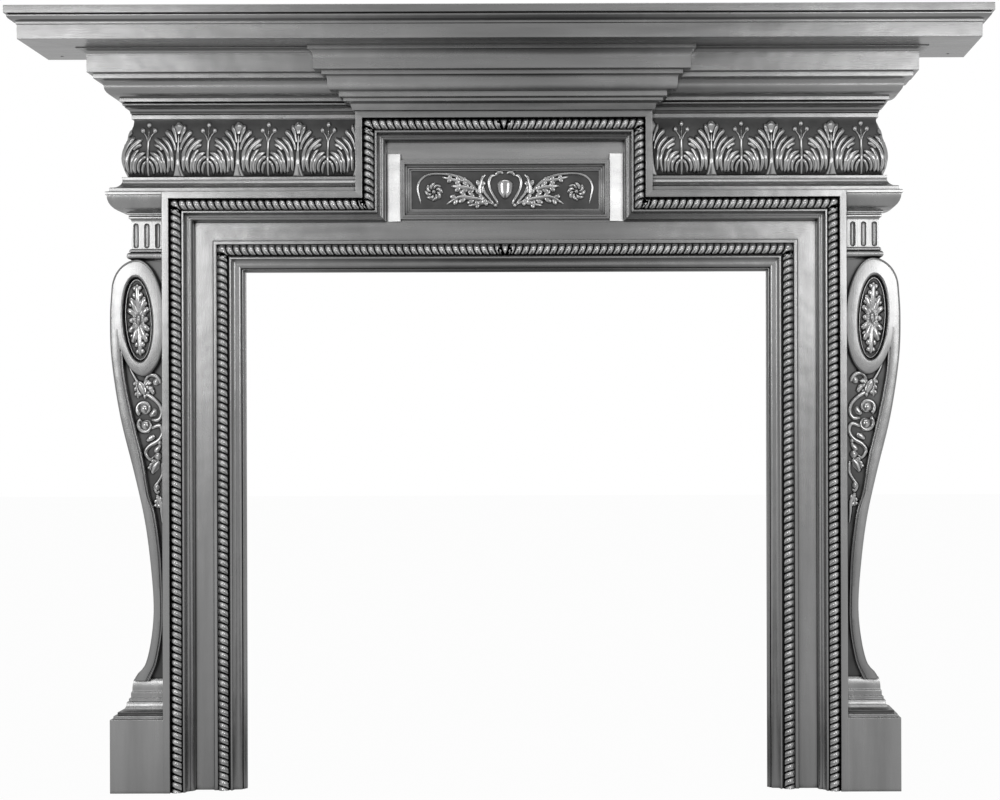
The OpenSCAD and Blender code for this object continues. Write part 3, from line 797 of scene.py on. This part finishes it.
BREAK_HALF = 323
break_sides = soften(
    [(-61, E), (-58, E + 11), (-47, E + 14), (-47, E + 19), (-40, E + 21), (-40, E + 30)]
    + cyma_steep((-26, E + 31), (-19, E + 55), 0.6)
    + [(-13, E + 56), (-13, E + 63), (0, E + 64), (0, E + 82)]
    + up_out((0, E + 83), (9, E + 97)) + [(9, SHELF_Z)], 0.8, closed=False)
BREAK_DEPTH = FASCIA_D + BREAK_D
break_back = (SET_BACK - BREAK_DEPTH) / 0.75
break_profile = [(break_back, break_sides[0][1])] + break_sides + [(break_back, break_sides[-1][1])]

lintel = bmesh.new()
run(lintel, wing_profile, right_return(WING_BASE, EAR_HALF - 1))
run(lintel, abacus_profile, right_return(WING_BASE, FRAME_HALF))
left_wing = mirrored(lintel)
spare = bpy.data.meshes.new("left wing")
left_wing.to_mesh(spare)
lintel.from_mesh(spare)
bpy.data.meshes.remove(spare)
for first, last in zip(ear_stations[1:6], ear_stations[2:7]):
    run(lintel, outer_section, [first, last])
run(lintel, inner_section, arch_stations[1:3])
run(lintel, break_profile, [
    ((-BREAK_HALF, SET_BACK, 0), (-1, 0, 0), UP), ((-BREAK_HALF, BREAK_DEPTH, 0), (-1, 0.75, 0), UP),
    ((BREAK_HALF, BREAK_DEPTH, 0), (1, 0.75, 0), UP), ((BREAK_HALF, SET_BACK, 0), (1, 0, 0), UP)])


def oblong(half, low, high):
    """An outline as (across, height)."""
    return [(-half, low), (half, low), (half, high), (-half, high)]


slab(lintel, oblong(EAR_HALF - RING + 1, T - RING - 1, E - RING + 1), SET_BACK, BAND_D, 0.05)
TABLET_Z = (E - RING + T - RING) / 2 - 14.5
TABLET_HALF, TABLET_TALL = 182, 51.5
tablet_section = soften([(0, 5), (0, BAND_D + 12), (3.5, BAND_D + 12), (3.8, BAND_D + 13.5)]
                        + [(7, BAND_D + 13.5), (7.6, BAND_D + 8), (11, BAND_D + 9)]
                        + [(11.4, BAND_D + 5.5), (14.6, BAND_D + 6.5)]
                        + [(15, BAND_D + 3), (18, BAND_D + 3.5), (19, BAND_D + 1.5), (19, 5)], 0.5)
round_tablet = [(-1, -1), (-1, 1), (1, 1), (1, -1), (-1, -1)]
run(lintel, tablet_section, [((x * TABLET_HALF, 0, TABLET_Z + z * TABLET_TALL), (-x, 0, -z), OUT)
                             for x, z in round_tablet])
plate = [(-TABLET_HALF - 1, BAND_D + 5), (-TABLET_HALF - 2, BAND_D + 5), (-TABLET_HALF - 26, BAND_D + 0.6),
         (-TABLET_HALF - 27, BAND_D - 2), (-TABLET_HALF - 1, BAND_D - 2)]
plate_ends = (TABLET_Z - TABLET_TALL - 3, TABLET_Z + TABLET_TALL + 12)
for sign in (-1, 1):
    run(lintel, plate, [((0, 0, z), (-sign, 0, 0), OUT) for z in plate_ends])
field = oblong(TABLET_HALF - 15, TABLET_Z - TABLET_TALL + 15, TABLET_Z + TABLET_TALL - 15)
slab(lintel, field, 6, BAND_D + 1.5, 0.05)
lintel_piece = settle("lintel_casting", lintel, IRON_LENGTHWAYS)
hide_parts("lintel")


def lintel_ground(x, depth, z, faces_front):
    """The rope beds, the frieze behind its leaves and the field of the tablet."""
    frieze = x > EAR_HALF - 9 and FRIEZE_Z < z < FRIEZE_TOP - 1 and 30 < depth < 64
    in_tablet = x < TABLET_HALF - 18 and abs(z - TABLET_Z) < TABLET_TALL - 18
    on_field = faces_front and in_tablet and 0 < depth - BAND_D - 0.5 < 2
    return in_channel(depth, faces_front) or frieze or on_field


blacken(lintel_piece, lintel_ground)
print("lintel:", len(lintel_piece.data.polygons), "faces")

# %% [markdown]
# ## Leaves
# A carved leaf is a ridge that follows its midrib: wide in the middle, round at the tip, and
# sunk into the ground along its edges. strand lays such a ridge on any ground.

# %% Leaves, stems and berries
SUNK = -1.5  # how far the edge of a leaf goes into its ground


def strand(bm, knots, rise, ground, tips=(0.0, 0.5), crease=0.0, along=14, across=6):
    """A ridge through knots of (x, z, width). tips says how much of each end is rounded."""

    def place(i, j):
        t = j / along
        x, z, width = spline(knots, t)
        ahead, behind = spline(knots, min(1, t + 0.01)), spline(knots, max(0, t - 0.01))
        line = Vector((ahead[0] - behind[0], ahead[1] - behind[1])).normalized()
        v = 2 * i / across - 1
        end = 1.0
        if tips[0] and t < tips[0]:
            end = math.sqrt(max(0, 1 - (1 - t / tips[0]) ** 2))
        if tips[1] and t > 1 - tips[1]:
            end = min(end, math.sqrt(max(0, 1 - ((t - 1 + tips[1]) / tips[1]) ** 2)))
        off = v * width / 2 * end
        hump = (1 - abs(v) ** 2.6) ** 0.7 - crease * max(0, 1 - abs(v) * 3)
        lift = min(rise, 1.2 + 0.32 * width) * hump * (0.35 + 0.65 * end)
        if abs(v) > 0.999 or end < 0.02:
            lift = SUNK
        return ground(x - line.y * off, z + line.x * off, lift)

    rows = lay_sheet(bm, across, along, place)
    close_shell(bm, [v for row in rows for v in row])


def ball(bm, x, z, r, ground, flat=0.7, tall=1.0):
    """A berry or boss, pressed a little into its ground."""
    spot = at(*ground(x, z, 0))
    size = Matrix.Diagonal((r / 1000, r * flat / 1000, r * tall / 1000, 1))
    made = bmesh.ops.create_uvsphere(bm, u_segments=14, v_segments=9, radius=1,
                                     matrix=Matrix.Translation(spot) @ size)["verts"]
    grain = bm.faces.layers.float_vector["grain"]
    for face in {face for vert in made for face in vert.link_faces}:
        face[grain] = Vector((0, 0, 1))


def both(knots):
    """The knots and their mirror image about x = 0."""
    return knots, [(-x, z, w) for x, z, w in knots]


def moved(knots, x, z, fat=1.0):
    return [(a + x, b + z, w * fat) for a, b, w in knots]


def frond(bm, knots, ground, rise, lobes, reach, fat):
    """A leaf with a midrib through its knots and pointed lobes on both sides, longest in the middle."""
    strand(bm, knots, rise, ground, (0.05, 0.3))
    for k in range(lobes):
        t = 0.1 + 0.85 * k / lobes
        x, z, _ = spline(knots, t)
        x2, z2, _ = spline(knots, t + 0.03)
        along = math.atan2(z2 - z, x2 - x)
        size = reach * math.sin(math.pi * (0.22 + 0.66 * t))
        for side in (-1, 1):
            wide, close = along + side * 0.95, along + side * 0.35
            mid = (x + 0.55 * size * math.cos(wide), z + 0.55 * size * math.sin(wide))
            tip = (mid[0] + 0.55 * size * math.cos(close), mid[1] + 0.55 * size * math.sin(close))
            lobe = [(x, z, fat * 0.8), (*mid, fat), (*tip, fat * 0.8)]
            strand(bm, lobe, rise * 0.9, ground, (0, 0.35), 0.1, 9, 6)


def frieze_ground(x, z, lift):
    """Depth on the swelling frieze. Past the corner the ground turns back to the wall."""
    depth = frieze_depth(z) + lift
    corner = WING_BASE + frieze_depth(z)
    if x <= corner:
        return x, depth, z
    return corner + lift, max(0.5, frieze_depth(z) - (x - corner)), z


PALMETTE = [
    ([(0, 74, 5), (0, 84, 11), (0, 91, 15), (0, 98, 12)], 5.5, 0.5),
    ([(2.5, 58, 4), (5.5, 73, 5.5), (9, 84, 8), (11, 93, 8)], 5, 0.4),
    ([(4, 44, 4), (7, 58, 6), (13, 70, 7.5), (20, 79, 10), (23, 82, 9)], 5, 0.45),
    ([(10, 6, 4), (9.5, 24, 6.5), (11, 42, 7), (15, 54, 7), (22, 64, 8.5), (30, 71, 8.5)], 4.8, 0.3),
    ([(20, 3, 4), (15.5, 22, 6.5), (18, 40, 7), (25, 53, 7.5), (34, 62, 9), (43, 68, 8)], 4.8, 0.25),
    ([(27, 46, 4), (33, 53, 6.5), (42, 57, 6.5)], 4, 0.3),
    ([(23.5, 3, 4), (23.5, 16, 5.5), (25.5, 30, 6), (31, 42, 5.5), (38, 48, 4.5)], 4.5, 0.2)]
SPRAY = [
    ([(22, 3, 5), (24, 15, 7), (21, 28, 8.5), (13, 38, 8), (3, 43, 5)], 5.5, 0.2),
    ([(15, 4, 4), (17, 15, 5.5), (13.5, 26, 6.5), (6, 33, 6), (2, 35, 4)], 5.5, 0.2),
    ([(1.5, 27, 4), (6.5, 22, 5.5), (9.5, 12, 5), (9, 3, 4)], 5, 0.3),
    ([(1, 60, 3), (3.5, 70, 2.8), (10, 80, 2.5)], 2.4, 0.2)]

PALMETTE_RIB = [(0, 1, 24), (0, 12, 15), (0, 26, 10), (0, 44, 7), (0, 62, 4.5), (0, 80, 4)]
SPRAY_RIB = [(0, 2, 5), (0, 26, 7), (0, 44, 6.5), (0, 62, 6.5), (0, 76, 4), (0, 88, 3)]
BERRIES = [(0, 92), (-10.5, 82), (10.5, 82)]
LEAF_FAT = 1.42
LEAF_PITCH = 104.8
first_spray = BREAK_HALF - 14
leaves = bmesh.new()


def foliage(x, blades):
    """The blades of one palmette or spray. One that grows from the middle isn't doubled."""
    for knots, rise, tip in blades:
        for side in both(knots) if knots[0][0] else (knots,):
            strand(leaves, moved(side, x, FRIEZE_Z, LEAF_FAT), rise, frieze_ground, (0.08, tip))


def palmette(x):
    strand(leaves, moved(PALMETTE_RIB, x, FRIEZE_Z), 5.5, frieze_ground, (0, 0.1), 0, 18, 8)
    foliage(x, PALMETTE)


def spray(x):
    strand(leaves, moved(SPRAY_RIB, x, FRIEZE_Z), 4.5, frieze_ground, (0, 0.1))
    foliage(x, SPRAY)
    for dx, dz in BERRIES:
        ball(leaves, x + dx, FRIEZE_Z + dz, 4.8, frieze_ground, 0.95, 1.15)


palmette(first_spray - LEAF_PITCH / 2)
for k in range(4):
    spray(first_spray + k * LEAF_PITCH)
    palmette(first_spray + (k + 0.5) * LEAF_PITCH)
settle_pair("frieze_leaves", leaves, CARVED, SOFT)
print("frieze leaves:", len(leaves.faces), "faces a side")

# %% [markdown]
# ## Carving on the consoles
# In the ring is a flower of pointed leaves round an egg. Under it a stem comes down and throws
# off scrolls, first to one side and then to the other, until it dies away on the cheek.

# %% Carving on the consoles
def cheek_ground(x, z, lift):
    return x, CHEEK_D + lift, z


PETALS = [(0, 55, 12, 4), (20, 34, 9, 2), (48, 21, 7, 1), (90, 13, 6, 1), (132, 21, 7, 1), (160, 34, 9, 2),
          (180, 55, 12, 4)]  # angle from the top, length, reach of the lobes, how many lobes
flower = bmesh.new()
for turn, length, reach, lobes in PETALS:
    for sign in (1, -1) if 0 < turn < 180 else (1,):
        angle = sign * math.radians(turn) + LEAN
        x, z = HOLE_X + 5 * math.sin(angle), HOLE_Z + 10 * math.cos(angle)
        tip = (x + length * math.sin(angle), z + length * math.cos(angle))
        petal = [(x, z, 9), ((x + tip[0]) / 2, (z + tip[1]) / 2, 14), (*tip, 12)]
        frond(flower, petal, cheek_ground, 7, lobes, reach, 12)
ball(flower, HOLE_X, HOLE_Z, 6.2, cheek_ground, 1.3, 1.75)
print("flower:", len(flower.faces), "faces")


def spiral(x, z, r, start, turns, width, shrink=0.25):
    """Knots of a stem that curls in on itself. start is in degrees, turns may be negative."""
    made = []
    count = max(6, int(abs(turns) * 10))
    for k in range(count + 1):
        t = k / count
        angle = math.radians(start + 360 * turns * t)
        reach = r * (1 - (1 - shrink) * t)
        made.append((x + reach * math.cos(angle), z + reach * math.sin(angle), width * (1 - 0.45 * t)))
    return made


# Knots are measured out from the frame and up from the foot of the ring.
STEMS = [
    ([(72, 48, 3), (64, 16, 4), (51, -9, 5), (43, -18, 6)], 4),
    ([(38, -24, 4), (36, -6, 5), (27, 3, 6), (15, -2, 6), (9, -14, 5)], 5),
    ([(49, -8, 5), (42, -20, 13), (36, -34, 6)], 6),
    ([(34, -20, 4), (27, -22, 8), (21, -32, 5)], 5),
    ([(38, -30, 5), (24, -38, 6), (12, -50, 6), (8, -64, 6), (14, -76, 6), (28, -76, 5)], 5),
    (spiral(39, -57, 14, -60, 1.1, 6.5, 0.45), 6),
    (spiral(37, -86, 14, 60, -1.1, 6.5, 0.45), 6),
    ([(20, -56, 5), (22, -64, 8), (30, -70, 5)], 5),
    ([(28, -92, 5), (12, -86, 6), (7, -98, 6), (14, -112, 6), (30, -122, 6), (37, -134, 6), (29, -146, 5),
      (22, -140, 4)], 5),
    ([(20, -104, 5), (27, -108, 8), (36, -114, 4)], 5),
    ([(10, -120, 4), (16, -128, 8), (22, -132, 5)], 5),
    ([(12, -148, 5), (20, -158, 10), (26, -172, 5)], 5),
    ([(8, -150, 4), (7, -170, 5), (14, -184, 5), (21, -194, 5), (17, -204, 5), (11, -200, 4)], 4.5),
    ([(18, -206, 5), (10, -222, 6), (9, -240, 5), (7, -262, 3)], 4)]
STEM_FAT = 1.7
STEM_LEAVES = [(((54, -8), (50, -22), (50, -40)), 3), (((44, -20), (36, -16), (30, -6)), 3),
               (((44, -24), (38, -30), (32, -34)), 2), (((20, -146), (24, -156), (30, -166)), 3),
               (((12, -210), (15, -220), (17, -232)), 3)]
BUDS = [(18, -10, 7), (39, -57, 9.5), (37, -86, 10), (15, -140, 8), (17, -194, 6.5), (12, -116, 5)]
ring_foot = RING_Z - RING_HALF_H
stems = bmesh.new()
for knots, rise in STEMS:
    stem = moved(knots, FRAME_HALF, ring_foot, STEM_FAT)
    strand(stems, stem, rise, cheek_ground, (0.05, 0.15), 0, max(16, 4 * len(knots)), 6)
for x, z, r in BUDS:
    ball(stems, FRAME_HALF + x, ring_foot + z, r, cheek_ground, 0.8)
for knots, lobes in STEM_LEAVES:
    rib = moved([(x, z, 8) for x, z in knots], FRAME_HALF, ring_foot)
    frond(stems, rib, cheek_ground, 5.5, lobes, 9, 9)
console_carving = {"ring_flower": flower, "console_foliage": stems}
for name, shape in console_carving.items():
    settle("right_" + name, shape, CARVED, SOFT)
for name, shape in console_carving.items():
    settle("left_" + name, mirrored(shape), CARVED, SOFT)
print("foliage:", len(stems.faces), "faces")

# %% [markdown]
# ## The tablet
# In the tablet an egg-shaped boss stands in a frame of scrolls, and acanthus springs from it to
# a rose at either end. Each stroke is carved together with its mirror image.

# %% The tablet
def tablet_ground(x, z, lift):
    return x, BAND_D + 1.5 + lift, z


# Knots are measured across and up from the middle of the carving.
BORDERS = [
    ([(3, 27, 6), (8, 30, 8), (14, 28, 8), (17, 22, 5)], 5),
    ([(17, 24, 5), (24, 23, 8), (28, 14, 8), (27, 3, 7), (21, -10, 7), (15, -20, 7), (12, -28, 5)], 6),
    ([(34, 26, 4), (39, 20, 6), (40, 9, 7), (36, -5, 7), (27, -17, 6), (19, -27, 5)], 4.5),
    ([(19, -27, 5), (33, -20, 7), (48, -4, 8), (64, 13, 8), (84, 23, 7), (108, 27, 6), (132, 26, 6),
      (147, 18, 6), (153, 5, 6), (151, -11, 6), (147, -27, 4)], 5.5)]
ACANTHUS = [
    ([(34, -20, 6), (56, -16, 8), (80, -14, 7), (104, -27, 5)], 4, 15),
    ([(44, -8, 6), (44, 6, 7), (38, 26, 5)], 2, 11),
    ([(54, -2, 6), (70, 3, 8), (96, 6, 5)], 3, 13),
    ([(66, 14, 5), (86, 16, 6), (112, 22, 4)], 3, 9),
    ([(30, -22, 5), (46, -26, 6), (66, -29, 4)], 2, 8)]
EGG = [(0, 18, 20), (0, 12, 29), (0, 3, 30), (0, -8, 24), (0, -18, 11)]
ROSE_X, ROSE_PETALS = 125, 8
carving_z = TABLET_Z + 1.5
rose_z = carving_z - 4
carving = bmesh.new()
for knots, rise in BORDERS:
    for side in both(knots):
        border = moved(side, 0, carving_z)
        strand(carving, border, rise, tablet_ground, (0.06, 0.2), 0.1, max(14, 4 * len(knots)), 6)
for knots, lobes, reach in ACANTHUS:
    for side in both(knots):
        frond(carving, moved(side, 0, carving_z, 1.5), tablet_ground, 5, lobes, reach, 11)
for sign in (-1, 1):
    for k in range(ROSE_PETALS):
        angle = 2 * math.pi * k / ROSE_PETALS
        swirl = [(sign * (ROSE_X + r * math.cos(angle + turn)), rose_z + r * math.sin(angle + turn), w)
                 for r, turn, w in ((4, 0, 5), (11, 0.35, 10), (17, 1.0, 9))]
        strand(carving, swirl, 5, tablet_ground, (0.1, 0.4), 0, 8, 4)
    ball(carving, sign * ROSE_X, rose_z, 4.5, tablet_ground, 1.2)
    ball(carving, sign * 17, carving_z - 28, 4.5, tablet_ground, 1.1)
strand(carving, moved(EGG, 0, carving_z), 7, tablet_ground, (0.3, 0.3), 0, 18, 14)
settle("tablet_carving", carving, CARVED, SOFT)
print("tablet carving:", len(carving.faces), "faces")

# %% [markdown]
# ## The studio
# Polished metal shows the room more than itself. Two big soft boxes stand behind the camera, one
# on each side and as high as the shelf, so the mantel's ends catch them and its centre stays
# grey. To the camera the floor and the room are white, and the floor keeps a soft shadow. To the
# metal the room is grey, and the floor is a painted reflection: it glows for glossy rays only,
# dark in the middle and grey to the sides, because a white floor would light up every underside.

# %% The studio
def pale_paper():
    """White to the camera, grey to the lamps, and to the metal a glowing floor that is dark in the middle:
    a painted reflection.
    """
    material, nodes, links, shader = new_material("studio paper")
    shader.inputs["Base Color"].default_value = (0.6, 0.6, 0.6, 1)
    shader.inputs["Roughness"].default_value = 0.9
    coords = nodes.new("ShaderNodeTexCoord")
    split = nodes.new("ShaderNodeSeparateXYZ")
    sideways = nodes.new("ShaderNodeMath")
    sideways.operation = "ABSOLUTE"
    # Painted reflection: for glossy rays the floor glows, dark in the middle and grey to the sides.
    floor_in_reflections = ramp(nodes, ((0.15, 0.11), (0.8, 0.6)))
    seen = nodes.new("ShaderNodeLightPath")
    pick = nodes.new("ShaderNodeMix")
    pick.data_type = "RGBA"
    pick.inputs["A"].default_value = (1, 1, 1, 1)
    reflection_glow = nodes.new("ShaderNodeEmission")
    share = nodes.new("ShaderNodeMath")
    share.operation = "MULTIPLY_ADD"
    share.inputs[1].default_value = 0.97
    mix = nodes.new("ShaderNodeMixShader")
    links.new(coords.outputs["Object"], split.inputs["Vector"])
    links.new(split.outputs["X"], sideways.inputs[0])
    links.new(sideways.outputs["Value"], floor_in_reflections.inputs["Fac"])
    links.new(seen.outputs["Is Glossy Ray"], pick.inputs["Factor"])
    links.new(floor_in_reflections.outputs["Color"], pick.inputs["B"])
    links.new(pick.outputs["Result"], reflection_glow.inputs["Color"])
    links.new(seen.outputs["Is Camera Ray"], share.inputs[0])
    links.new(seen.outputs["Is Glossy Ray"], share.inputs[2])
    links.new(share.outputs["Value"], mix.inputs["Fac"])
    links.new(shader.outputs["BSDF"], mix.inputs[1])
    links.new(reflection_glow.outputs["Emission"], mix.inputs[2])
    links.new(mix.outputs["Shader"], nodes["Material Output"].inputs["Surface"])
    return material


def paper_floor():
    """One big sheet on the floor."""
    paper = bmesh.new()
    bmesh.ops.create_grid(paper, x_segments=1, y_segments=1, size=20)
    mesh = bpy.data.meshes.new("studio_paper")
    paper.to_mesh(mesh)
    mesh.materials.append(pale_paper())
    sheet = bpy.data.objects.new("studio_paper", mesh)
    bpy.context.collection.objects.link(sheet)


def soft_box(name, spot, aim, width, height, power):
    light = bpy.data.lights.new(name, "AREA")
    light.shape = "RECTANGLE"
    light.size, light.size_y = width, height
    light.energy = power
    lamp = bpy.data.objects.new(name, light)
    lamp.location = spot
    lamp.rotation_euler = (Vector(aim) - Vector(spot)).to_track_quat("-Z", "Y").to_euler()
    bpy.context.collection.objects.link(lamp)


paper_floor()
for name, x, power in (("left box", -1.85, 12.5), ("right box", 1.45, 12.5)):
    soft_box(name, (x, -3.9, 1.38), (x / 3, 0, 0.9), 1.0, 0.9, power)
soft_box("overhead box", (0, -2.4, 3.4), (0, 0, 0.6), 3.2, 0.8, 14)

world = bpy.data.worlds.new("room")
world.use_nodes = True
nodes, links = world.node_tree.nodes, world.node_tree.links
seen = nodes.new("ShaderNodeLightPath")
walls = nodes.new("ShaderNodeMix")
walls.data_type = "RGBA"
walls.inputs["A"].default_value = (0.44, 0.44, 0.44, 1)
walls.inputs["B"].default_value = (1, 1, 1, 1)
links.new(seen.outputs["Is Camera Ray"], walls.inputs["Factor"])
links.new(walls.outputs["Result"], nodes["Background"].inputs["Color"])
bpy.context.scene.world = world
bpy.context.scene.view_settings.view_transform = "Standard"
print("studio ready")
